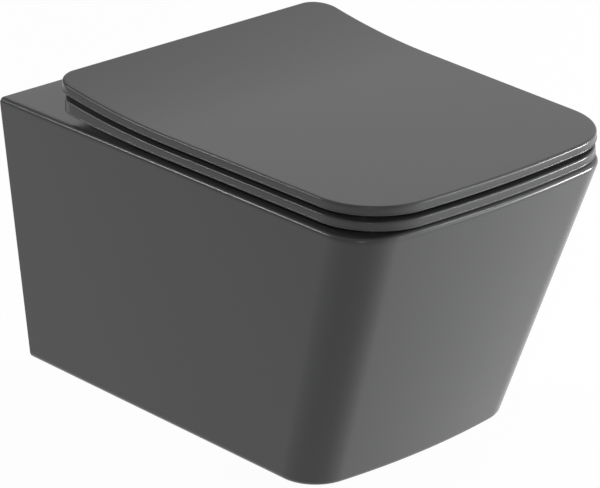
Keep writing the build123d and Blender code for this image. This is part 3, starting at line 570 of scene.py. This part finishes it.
def rectangle(low_x, high_x, low_y, high_y):
    """Its four corners, anticlockwise."""
    return np.array([(low_x, low_y), (high_x, low_y), (high_x, high_y), (low_x, high_y)])


def circle(x, y, radius, steps=40):
    """A closed circle of flat points."""
    turn = np.linspace(0, 2 * math.pi, steps, endpoint=False)
    return np.column_stack([x + radius * np.cos(turn), y + radius * np.sin(turn)])


def walls(loop, low, high):
    """The upright wall of a closed flat loop between two heights."""
    return sheet(np.stack([rows_of(loop, low), rows_of(loop, high)]))


def block(loops, low, high):
    """A flat slab with upright walls: loops[0] is its outline, the rest are holes."""
    sides = [walls(loop, low, high) for loop in loops]
    return sides + [fill(loops, level(low)), fill(loops, level(high))]


def turned(profile, place, steps=64):
    """A closed profile [n, 2] of (radius, height) turned about its height axis.

    place turns the points round Z [n, 3] into their place in space.
    """
    turn = np.linspace(0, 2 * math.pi, steps, endpoint=False)[None, :]
    radius, height = np.asarray(profile, float).T[:, :, None]
    across, upwards = radius * np.cos(turn), radius * np.sin(turn)
    points = np.stack([across, upwards, height + 0 * turn], axis=-1)
    return sheet(np.stack([place(row) for row in points]))


def inlet_place(points):
    """Lays the inlet along Y, its end cut to the slope of the bowl's wall.

    A ring's height becomes its distance from the wall behind, and no ring goes
    past the middle of the bowl's wall.
    """
    height = INLET_Z + points[:, 1]
    wall_middle = np.interp(RIM_Z - height, BOWL[:, 0], BOWL[:, 4]) - BOWL_WALL / 2
    return np.column_stack([points[:, 0], -np.minimum(points[:, 2], wall_middle), height])


post_holes = [circle(POST_X * side, POST_Y, POST_HOLE) for side in (-1, 1)]
# x and z of the two borders that lie on the wall
rear_frame = np.concatenate([outside[:, 0, ::2], outside[::-1, -1, ::2]])
rear_opening = np.concatenate([hollow[:, 0, ::2], hollow[::-1, -1, ::2]])
shelves = []
for side in (-1, 1):
    outline = rectangle(*SHELF) * (side, 1)
    shelves += block([outline, circle(POST_X * side, POST_Y, SHELF_HOLE)], *SHELF_Z)

pan_china = stack("pan_china", [
    sheet(outside, closed=False),
    sheet(hollow, closed=False),
    sheet(way),
    fill([outside[-1, :, :2], way[0, :, :2], *post_holes], level(RIM_Z)),
    fill([hollow[-1, :, :2], way[-1, :, :2], *post_holes], level(DECK_UNDER_Z)),
    fill([outside[0, :, :2]], level(FOOT_Z)),
    fill([hollow[0, :, :2]], level(FOOT_Z + CHINA)),
    fill([rear_frame, rear_opening], lambda p: np.column_stack([p[:, 0], 0 * p[:, 0], p[:, 1]])),
    *[walls(hole, DECK_UNDER_Z, RIM_Z) for hole in post_holes],
    *shelves,
    turned(INLET_PROFILE, inlet_place),
])
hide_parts("pan", "bowl", "inlet_socket")
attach(pan_china, "pan")

# %% [markdown]
# ## The upsweep of seat and lid
# From the side, seat and lid lie level over the bowl and sweep up towards the
# wall in an arc that starts 168 mm before their rear edge. The height of each
# point follows from how far it lies past that start, so the same rule lifts
# the top face, the underside and the rounded edges alike. A Lattice could bend
# a flat panel in the same way, but it would tilt and stretch those edges.

# %% Heights of seat and lid
LID = dict(
    rear=82.0, front=528.5, half_rear=176.0, half_front=163.0, corner=70.0, rear_corner=26.0
)
LID_BOW = 12.0
UPSWEEP = 168.0
# each face's height over the rim at the front, and its further rise at the rear
SEAT_UNDER, SEAT_OVER = (6.4, 7.0), (15.5, 13.5)
LID_UNDER, LID_ROOF, LID_OVER = (21.5, 14.0), (26.0, 14.0), (30.6, 15.2)


def lifted(base, rise):
    """Height over the rim: base plus the arc R - sqrt(R^2 - s^2) past the start."""
    radius = (UPSWEEP**2 + rise**2) / (2 * rise)
    start = -LID["rear"] - UPSWEEP

    def height(y):
        past = np.clip(y - start, 0.0, None)
        return RIM_Z + base + radius - np.sqrt(radius**2 - past**2)

    return height


def panel_line(inset, rear_inset):
    """Outline of seat or lid, drawn in all round and a different amount at the rear."""
    size = {key: value - inset for key, value in LID.items()}
    size["rear"] = LID["rear"] + rear_inset
    return both_halves(*half_outline(bow=LID_BOW, **size), closed=True)


# %% Edges of seat and lid
BEAD = 0.9
BEAD_TURN = math.radians(60)
BEAD_DEPTH = BEAD * (1 - math.cos(BEAD_TURN))
BEAD_LEVEL = 0.3


def edge_rows(line, out, under, over, low_radius, high_radius):
    """Rows round a panel's edge: lower rounding, bead, side and upper rounding.

    The bead is a guess at what draws the bright line along each panel's lower
    edge: above it the side stands back by BEAD (1 - cos BEAD_TURN).
    """
    rows = []
    low_z = under((line - out * low_radius)[:, 1])
    high_z = over((line - out * (high_radius + BEAD_DEPTH))[:, 1])
    for turn in np.linspace(-math.pi / 2, 0, 5):
        flat = line + out * (low_radius * (math.cos(turn) - 1))
        rows.append(rows_of(flat, low_z + low_radius * (1 + math.sin(turn))))
    for turn in np.linspace(0, BEAD_TURN, 5)[1:]:
        flat = line + out * (BEAD * (math.cos(turn) - 1))
        rows.append(rows_of(flat, low_z + low_radius + BEAD * math.sin(turn)))
    rows.append(rows[-1] + np.array([0.0, 0.0, BEAD_LEVEL]))
    for turn in np.linspace(0, math.pi / 2, 7):
        flat = line + out * (high_radius * (math.cos(turn) - 1) - BEAD_DEPTH)
        rows.append(rows_of(flat, high_z - high_radius * (1 - math.sin(turn))))
    return rows


# %% [markdown]
# ## The lid
# The lid is a moulded panel with a shallow recess underneath. Its top is a
# sheet that runs from the outline to a short line along the middle, and the
# recess runs back out from a line under it, so the whole lid is one closed
# surface. Extruding and bevelling the outline would be quicker, but each
# rounding of the edge has its own radius here. Two lugs hang from the lid into
# the hinges.


# %% The lid's surface
SPINE = (-430.0, -150.0)
RECESS_INSET, RECESS_REAR_INSET = 12.0, 5.0
RECESS_EDGE, RECESS_RIM = 1.5, 1.0
LID_LOW_EDGE, LID_HIGH_EDGE = 1.0, 2.5


def to_spine(line, share):
    """Points a share of the way from the outline to a line along the middle."""
    spine = np.column_stack([0 * line[:, 0], np.clip(line[:, 1], *SPINE)])
    return line * (1 - share) + spine * share


def lid_surface():
    """Rows from the middle of the recess out, round the edge and back over the top."""
    under, roof, over = lifted(*LID_UNDER), lifted(*LID_ROOF), lifted(*LID_OVER)
    line, out = panel_line(0.0, 0.0)
    inner, inner_out = panel_line(RECESS_INSET, RECESS_REAR_INSET)
    rows = []
    for share in np.linspace(1, 0.02, 16):
        flat = to_spine(inner - inner_out * RECESS_EDGE, share)
        rows.append(rows_of(flat, roof(flat[:, 1])))
    for turn in np.linspace(0, math.pi / 2, 4):
        flat = inner - inner_out * (RECESS_EDGE * (1 - math.sin(turn)))
        rows.append(rows_of(flat, roof(flat[:, 1]) - RECESS_EDGE * (1 - math.cos(turn))))
    for turn in np.linspace(0, math.pi / 2, 4):
        flat = inner + inner_out * (RECESS_RIM * (1 - math.cos(turn)))
        rows.append(rows_of(flat, under(flat[:, 1]) + RECESS_RIM * (1 - math.sin(turn))))
    rows += edge_rows(line, out, under, over, LID_LOW_EDGE, LID_HIGH_EDGE)
    for share in np.concatenate([[0.012], np.linspace(0.04, 1, 24)]):
        flat = to_spine(line - out * (LID_HIGH_EDGE + BEAD_DEPTH), share)
        rows.append(rows_of(flat, over(flat[:, 1])))
    return np.stack(rows)


# %% Lugs on the hinge axis, and the finished lid
HINGE = (-92.0, 116.0)
LUG_RADIUS = 7.5
LUG_ROOF_Z = 130.5
SHAFT_BORE, BUSH_BORE = 3.05, 4.55
# from and to along X: the lid's lugs stand on the inner side of each hinge block,
# the seat's on the outer side
LID_LUG, SEAT_LUG = (51.4, 61.4), (93.6, 103.6)


def on_the_left(span):
    """The same stretch on the other side of the middle."""
    return (-span[1], -span[0])


def bored_slab(span, outline, bore):
    """A slab with its outline in the plane (y, z), bored on the hinge axis."""
    start, end = span
    return [
        (np.column_stack([start + (end - start) * p[:, 2], p[:, 0], p[:, 1]]), faces)
        for p, faces in block([outline, circle(*HINGE, bore, 24)], 0.0, 1.0)
    ]


def lug(span, bore):
    """A lug round the hinge axis, its upper half carried up into the lid."""
    turn = np.linspace(math.pi, 2 * math.pi, 24)
    bottom = np.column_stack([LUG_RADIUS * np.cos(turn), LUG_RADIUS * np.sin(turn)])
    roof = LUG_ROOF_Z - HINGE[1]
    outline = np.concatenate([bottom, [[LUG_RADIUS, roof], [-LUG_RADIUS, roof]]])
    return bored_slab(span, outline + np.array(HINGE), bore)


def round_lug(span, bore):
    """A round lug about the hinge axis."""
    return bored_slab(span, circle(*HINGE, LUG_RADIUS, 48), bore)


lid_panel = stack("lid_panel", [
    sheet(lid_surface()),
    *lug(LID_LUG, SHAFT_BORE),
    *lug(on_the_left(LID_LUG), BUSH_BORE),
], sharp=50.0)
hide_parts("lid")
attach(lid_panel, "lid")

# %% [markdown]
# ## The seat
# The seat is the same panel with an opening, so its surface closes on itself
# both ways, like a tyre. Each column starts at a point of the opening that
# lies in the same direction as the point of the outline, which rounds the
# opening's edge more evenly than a cut with a bevel would. The two notches that
# the hinges stand in are cut with a boolean, because they cross the rows.


# %% The seat's surface
SEAT_INSET, SEAT_REAR_INSET = 0.6, 3.0
SEAT_LOW_EDGE, SEAT_HIGH_EDGE = 1.5, 2.0
# the opening as a superellipse: its middle, then half width, half length and power
OPENING_MIDDLE = np.array([0.0, -307.5])
OPENING = (108.0, 142.5, 2.94)
OPENING_LOW_EDGE, OPENING_HIGH_EDGE = 1.0, 5.0


def seat_surface():
    """Rows from the opening's lower edge out, round the edge and back to it."""
    under, over = lifted(*SEAT_UNDER), lifted(*SEAT_OVER)
    line, out = panel_line(SEAT_INSET, SEAT_REAR_INSET)
    turn = np.arctan2(line[:, 1] - OPENING_MIDDLE[1], line[:, 0])
    direction = np.column_stack([np.cos(turn), np.sin(turn)])
    opening = OPENING_MIDDLE + superellipse(turn, *OPENING)[:, None] * direction
    rows = []
    for turn in np.linspace(0.0, math.pi / 2, 4):
        flat = opening + direction * (OPENING_LOW_EDGE * (1 - math.cos(turn)))
        rows.append(rows_of(flat, under(flat[:, 1]) + OPENING_LOW_EDGE * (1 - math.sin(turn))))
    low_start = opening + direction * OPENING_LOW_EDGE
    low_end = line - out * SEAT_LOW_EDGE
    for share in np.linspace(0.03, 0.97, 12):
        flat = low_start * (1 - share) + low_end * share
        rows.append(rows_of(flat, under(flat[:, 1])))
    rows += edge_rows(line, out, under, over, SEAT_LOW_EDGE, SEAT_HIGH_EDGE)
    high_start = line - out * (SEAT_HIGH_EDGE + BEAD_DEPTH)
    high_end = opening + direction * OPENING_HIGH_EDGE
    for share in np.concatenate([[0.02], np.linspace(0.06, 0.96, 18)]):
        flat = high_start * (1 - share) + high_end * share
        rows.append(rows_of(flat, over(flat[:, 1])))
    for turn in np.linspace(math.pi / 2, 0, 8):
        flat = opening + direction * (OPENING_HIGH_EDGE * (1 - math.cos(turn)))
        rows.append(rows_of(flat, over(flat[:, 1]) - OPENING_HIGH_EDGE * (1 - math.sin(turn))))
    rows.append(rows[0])
    return np.stack(rows)


# %% The seat's notches and lugs
# the right notch's x and y from and to, and heights beyond both of the seat's faces
NOTCH, NOTCH_Z = (49.4, 93.6, -128.0, -70.0), (85.0, 140.0)


def cut(piece, sheets):
    """Takes a closed solid out of a piece with an exact boolean."""
    tool = stack("cutter", sheets)
    change = piece.modifiers.new("cut", "BOOLEAN")
    change.operation = "DIFFERENCE"
    change.solver = "EXACT"
    change.object = tool
    depsgraph = bpy.context.evaluated_depsgraph_get()
    done = bpy.data.meshes.new_from_object(piece.evaluated_get(depsgraph))
    piece.modifiers.clear()
    old = piece.data
    piece.data = done
    done.name = old.name
    bpy.data.meshes.remove(old)
    bpy.data.objects.remove(tool)


seat_panel = stack("seat_panel", [sheet(seat_surface())])
notches = []
for side in (-1, 1):
    notches += block([rectangle(*NOTCH) * (side, 1)], *NOTCH_Z)
cut(seat_panel, notches)
print("seat after its notches:", len(seat_panel.data.polygons), "faces, open edges:",
      mesh_open_edges(seat_panel.data))
seat_lugs = stack("seat_lugs", [
    *round_lug(SEAT_LUG, BUSH_BORE),
    *round_lug(on_the_left(SEAT_LUG), SHAFT_BORE),
])
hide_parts("seat")
for piece in (seat_panel, seat_lugs):
    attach(piece, "seat")

# %% [markdown]
# ## Finishes
# The china wears a dark satin glaze: a deep grey body colour under a soft
# gloss, with the faint unevenness that a sprayed glaze has after firing. The
# seat and lid are moulded resin in the same grey. Image textures could draw the
# unevenness, but noise needs no picture and has no seams. A shared node group
# makes it, so that each material can ask for its own amount.

# %% A shared group for fine unevenness
CLOUDS = 6.0
SPECKS = 900.0
RELIEF = 0.25


def new_group(name, inputs, outputs):
    """An empty shader node group with the named number inputs and outputs."""
    group = bpy.data.node_groups.new(name, "ShaderNodeTree")
    for label, value in inputs:
        socket = group.interface.new_socket(label, in_out="INPUT", socket_type="NodeSocketFloat")
        socket.default_value = value
    for label in outputs:
        group.interface.new_socket(label, in_out="OUTPUT", socket_type="NodeSocketFloat")
    return group, group.nodes.new("NodeGroupInput"), group.nodes.new("NodeGroupOutput")


def uneven_group():
    """Broad clouds and fine specks, both between 0 and 1, from object coordinates."""
    group, given, result = new_group(
        "uneven", [("Cloud scale", CLOUDS), ("Speck scale", SPECKS)], ["Cloud", "Speck"]
    )
    where = group.nodes.new("ShaderNodeTexCoord")
    for label, detail in (("Cloud", 3.0), ("Speck", 1.0)):
        noise = group.nodes.new("ShaderNodeTexNoise")
        noise.inputs["Detail"].default_value = detail
        group.links.new(where.outputs["Object"], noise.inputs["Vector"])
        group.links.new(given.outputs[label + " scale"], noise.inputs["Scale"])
        group.links.new(noise.outputs["Fac"], result.inputs[label])
    return group


UNEVEN = uneven_group()
print("shared group:", UNEVEN.name)


# %% One finish
def finish(name, colour, roughness, spread=0.0, tint=0.0, metallic=0.0, bump=0.0,
           cloud=CLOUDS, specular=0.5):
    """A material whose colour and roughness drift a little over the surface.

    Roughness runs from roughness - spread to roughness + spread, and the colour
    from (1 - tint) to (1 + tint) of itself, both with the group's clouds. A
    colour without tint is set on the shader itself.
    """
    made = bpy.data.materials.new(name)
    made.use_nodes = True
    tree = made.node_tree
    shader = tree.nodes["Principled BSDF"]
    shader.inputs["Metallic"].default_value = metallic
    shader.inputs["Specular IOR Level"].default_value = specular
    uneven = tree.nodes.new("ShaderNodeGroup")
    uneven.node_tree = UNEVEN
    uneven.inputs["Cloud scale"].default_value = cloud
    uneven.inputs["Speck scale"].default_value = SPECKS
    rough = tree.nodes.new("ShaderNodeMapRange")
    rough.inputs["To Min"].default_value = roughness - spread
    rough.inputs["To Max"].default_value = roughness + spread
    tree.links.new(uneven.outputs["Cloud"], rough.inputs["Value"])
    tree.links.new(rough.outputs["Result"], shader.inputs["Roughness"])
    shader.inputs["Base Color"].default_value = (*colour, 1.0)
    if tint:
        ramp = tree.nodes.new("ShaderNodeValToRGB")
        for end, share in zip(ramp.color_ramp.elements, (1 - tint, 1 + tint)):
            end.color = (*[c * share for c in colour], 1.0)
        tree.links.new(uneven.outputs["Cloud"], ramp.inputs["Fac"])
        tree.links.new(ramp.outputs["Color"], shader.inputs["Base Color"])
    if bump:
        relief = tree.nodes.new("ShaderNodeBump")
        relief.inputs["Strength"].default_value = RELIEF
        relief.inputs["Distance"].default_value = bump * MM
        tree.links.new(uneven.outputs["Speck"], relief.inputs["Height"])
        tree.links.new(relief.outputs["Normal"], shader.inputs["Normal"])
    return made


def dress(material, *pieces):
    """Gives each piece, or CAD node by name, this material alone."""
    for piece in pieces:
        piece = nodes[piece] if isinstance(piece, str) else piece
        piece.data.materials.clear()
        piece.data.materials.append(material)


# %% The object's finishes
GREY = (0.110, 0.111, 0.113)
SATIN = dict(colour=GREY, roughness=0.23, specular=0.4)
METAL = dict(metallic=1.0)
glaze = finish("dark_satin_glaze", spread=0.03, tint=0.03, bump=0.01, **SATIN)
resin = finish("dark_satin_resin", spread=0.02, tint=0.02, **SATIN)
plated = finish("plated_casting", (0.62, 0.63, 0.65), 0.18, spread=0.05, **METAL)
polished = finish("polished_button", (0.75, 0.76, 0.78), 0.08, spread=0.03, **METAL)
steel = finish("bright_steel", (0.56, 0.57, 0.58), 0.3, spread=0.08, cloud=80, **METAL)
zinc = finish("zinc_plate", (0.6, 0.61, 0.6), 0.38, spread=0.1, tint=0.12, cloud=60, **METAL)
brass = finish("turned_brass", (0.72, 0.52, 0.24), 0.28, spread=0.06, cloud=90, **METAL)
white = finish("white_moulding", (0.8, 0.8, 0.78), 0.42, spread=0.04, tint=0.02, cloud=40)
black = finish("black_moulding", (0.03, 0.03, 0.032), 0.45, spread=0.05, cloud=40)
rubber = finish("soft_rubber", (0.035, 0.035, 0.037), 0.7, 0.06, tint=0.1, bump=0.05, cloud=60)
pads = finish("pale_rubber", (0.34, 0.35, 0.35), 0.5, spread=0.05, cloud=60)

dress(glaze, pan_china)
dress(resin, lid_panel, seat_panel, seat_lugs)
FINISH_OF_SLOT = {
    "pan_glaze": glaze, "seat_panel": resin, "hinge_metal": plated, "button_metal": polished,
    "steel": steel, "bracket_steel": zinc, "brass": brass, "white_plastic": white,
    "damper_plastic": black, "soft_rubber": rubber, "clear_rubber": pads,
}
for part in frame["record"]["subparts"]:
    dress(FINISH_OF_SLOT[part["material_slot"]], part["node"])
print("finishes:", len(FINISH_OF_SLOT))

# %% [markdown]
# ## Camera
# The photograph was taken from the front left and a little above. Solving for
# the camera that draws the outline in the right place gave the direction, the
# distance and the lens. Turning a camera by eye would come near, but a long
# lens far away and a short one close by look alike until edges are measured.

# %% Camera
AZIMUTH, ELEVATION = math.radians(-41.84), math.radians(23.36)
back = np.array([
    math.sin(AZIMUTH) * math.cos(ELEVATION),
    -math.cos(AZIMUTH) * math.cos(ELEVATION),
    math.sin(ELEVATION),
])
right = np.array([math.cos(AZIMUTH), math.sin(AZIMUTH), 0.0])
up = np.cross(back, right)
PHOTO_WIDTH_PX = 600.0
FOCAL_PX = 3197.0
SENSOR = 36.0
DISTANCE = 3165.0
AIM = np.array([0.0, -230.0, -53.0])
TO_RIGHT, TO_TOP = 11.26, 7.88
place = AIM + TO_RIGHT * right + TO_TOP * up + DISTANCE * back
camera_data = bpy.data.cameras.new("camera")
camera_data.sensor_width = SENSOR
camera_data.lens = FOCAL_PX * SENSOR / PHOTO_WIDTH_PX
camera_data.clip_end = 100.0
camera = bpy.data.objects.new("camera", camera_data)
camera.location = Vector(place * MM)
camera.rotation_mode = "QUATERNION"
camera.rotation_quaternion = Vector(-back).to_track_quat("-Z", "Y")
bpy.context.scene.collection.objects.link(camera)
bpy.context.scene.camera = camera
bpy.context.scene.view_settings.view_transform = "Standard"
print("lens:", round(camera_data.lens, 1), "mm")

# %% [markdown]
# ## Studio
# Six lamps stand 4 m away. Two wide ones at the front right make the front
# bright and leave the left flank in shade. They stand so low that the level lid
# hardly mirrors them. A large soft one behind gives the lid its sheen, and
# three small ones draw the bright lines along the rounded edges. A bright sky
# alone would be simpler, but it lights every side alike. Floor and sky glow
# only for the eye and in reflections, the floor white and the sky a pale grey,
# so they don't wash out the object, and the floor keeps its shadow.


# %% Floor and sky, pale to the eye and in reflections
SKY_SEEN = 0.55
SKY_LIGHT = 0.06
FLOOR_SEEN = 1.26
FLOOR_GLOW_SHARE = 0.75
FLOOR_PAINT = (0.5, 0.5, 0.5, 1.0)
FLOOR_Z = -330.0
FLOOR_HALF = 12000.0


def seen_directly(tree):
    """1 for a ray from the camera, a reflection or a view through glass, else 0."""
    path = tree.nodes.new("ShaderNodeLightPath")
    seen = path.outputs["Is Camera Ray"]
    for kind in ("Is Glossy Ray", "Is Transmission Ray"):
        either = tree.nodes.new("ShaderNodeMath")
        either.operation = "MAXIMUM"
        tree.links.new(seen, either.inputs[0])
        tree.links.new(path.outputs[kind], either.inputs[1])
        seen = either.outputs[0]
    return seen


def studio_floor():
    """A wide level sheet under the object: pale paint, partly glowing where it is seen."""
    corners = rectangle(-FLOOR_HALF, FLOOR_HALF, -FLOOR_HALF, FLOOR_HALF)
    made = stack("floor", [(rows_of(corners, FLOOR_Z), np.array([[0, 1, 2, 3]]))])
    paint = bpy.data.materials.new("pale_floor")
    paint.use_nodes = True
    tree = paint.node_tree
    tree.nodes.clear()
    lit = tree.nodes.new("ShaderNodeBsdfDiffuse")
    lit.inputs["Color"].default_value = FLOOR_PAINT
    glow = tree.nodes.new("ShaderNodeEmission")
    glow.inputs["Strength"].default_value = FLOOR_SEEN
    partly = tree.nodes.new("ShaderNodeMath")
    partly.operation = "MULTIPLY"
    partly.inputs[1].default_value = FLOOR_GLOW_SHARE
    tree.links.new(seen_directly(tree), partly.inputs[0])
    mix = tree.nodes.new("ShaderNodeMixShader")
    tree.links.new(partly.outputs[0], mix.inputs["Fac"])
    tree.links.new(lit.outputs[0], mix.inputs[1])
    tree.links.new(glow.outputs[0], mix.inputs[2])
    output = tree.nodes.new("ShaderNodeOutputMaterial")
    tree.links.new(mix.outputs[0], output.inputs["Surface"])
    made.data.materials.append(paint)


studio_floor()

world = bpy.data.worlds.new("studio")
bpy.context.scene.world = world
world.use_nodes = True
sky = world.node_tree.nodes["Background"]
sky.inputs["Color"].default_value = (1.0, 1.0, 1.0, 1.0)
sky_strength = world.node_tree.nodes.new("ShaderNodeMapRange")
sky_strength.inputs["To Min"].default_value = SKY_LIGHT
sky_strength.inputs["To Max"].default_value = SKY_SEEN
world.node_tree.links.new(seen_directly(world.node_tree), sky_strength.inputs["Value"])
world.node_tree.links.new(sky_strength.outputs["Result"], sky.inputs["Strength"])

# %% Soft lamps, in metres
MIDDLE = np.array([0.0, -0.25, 0.0])
LAMP_DISTANCE = 4.0
# name, degrees round from the front to the right, degrees up, sides in metres, watts
LAMPS = [
    ("back_right", 135, 35, (2.8, 2.8), 10.1),
    ("key", 56, 1.5, (1.4, 0.7), 165.0),
    ("key_front", 36, 1.5, (1.4, 0.7), 13.6),
    ("edge_left", -138, 30, (0.5, 0.5), 22.0),
    ("edge_corner", -50, 32, (0.5, 0.5), 10.0),
    ("edge_front", 40, 30, (0.5, 0.5), 22.0),
]
for name, turn, rise, side, power in LAMPS:
    turn, rise = math.radians(turn), math.radians(rise)
    towards = np.array([
        math.sin(turn) * math.cos(rise), -math.cos(turn) * math.cos(rise), math.sin(rise)
    ])
    lamp_data = bpy.data.lights.new("lamp_" + name, "AREA")
    lamp_data.shape = "RECTANGLE"
    lamp_data.size, lamp_data.size_y = side
    lamp_data.energy = power
    lamp = bpy.data.objects.new("lamp_" + name, lamp_data)
    lamp.location = Vector(MIDDLE + LAMP_DISTANCE * towards)
    lamp.rotation_mode = "QUATERNION"
    lamp.rotation_quaternion = Vector(-towards).to_track_quat("-Z", "Y")
    bpy.context.scene.collection.objects.link(lamp)
print("lamps:", len(LAMPS))
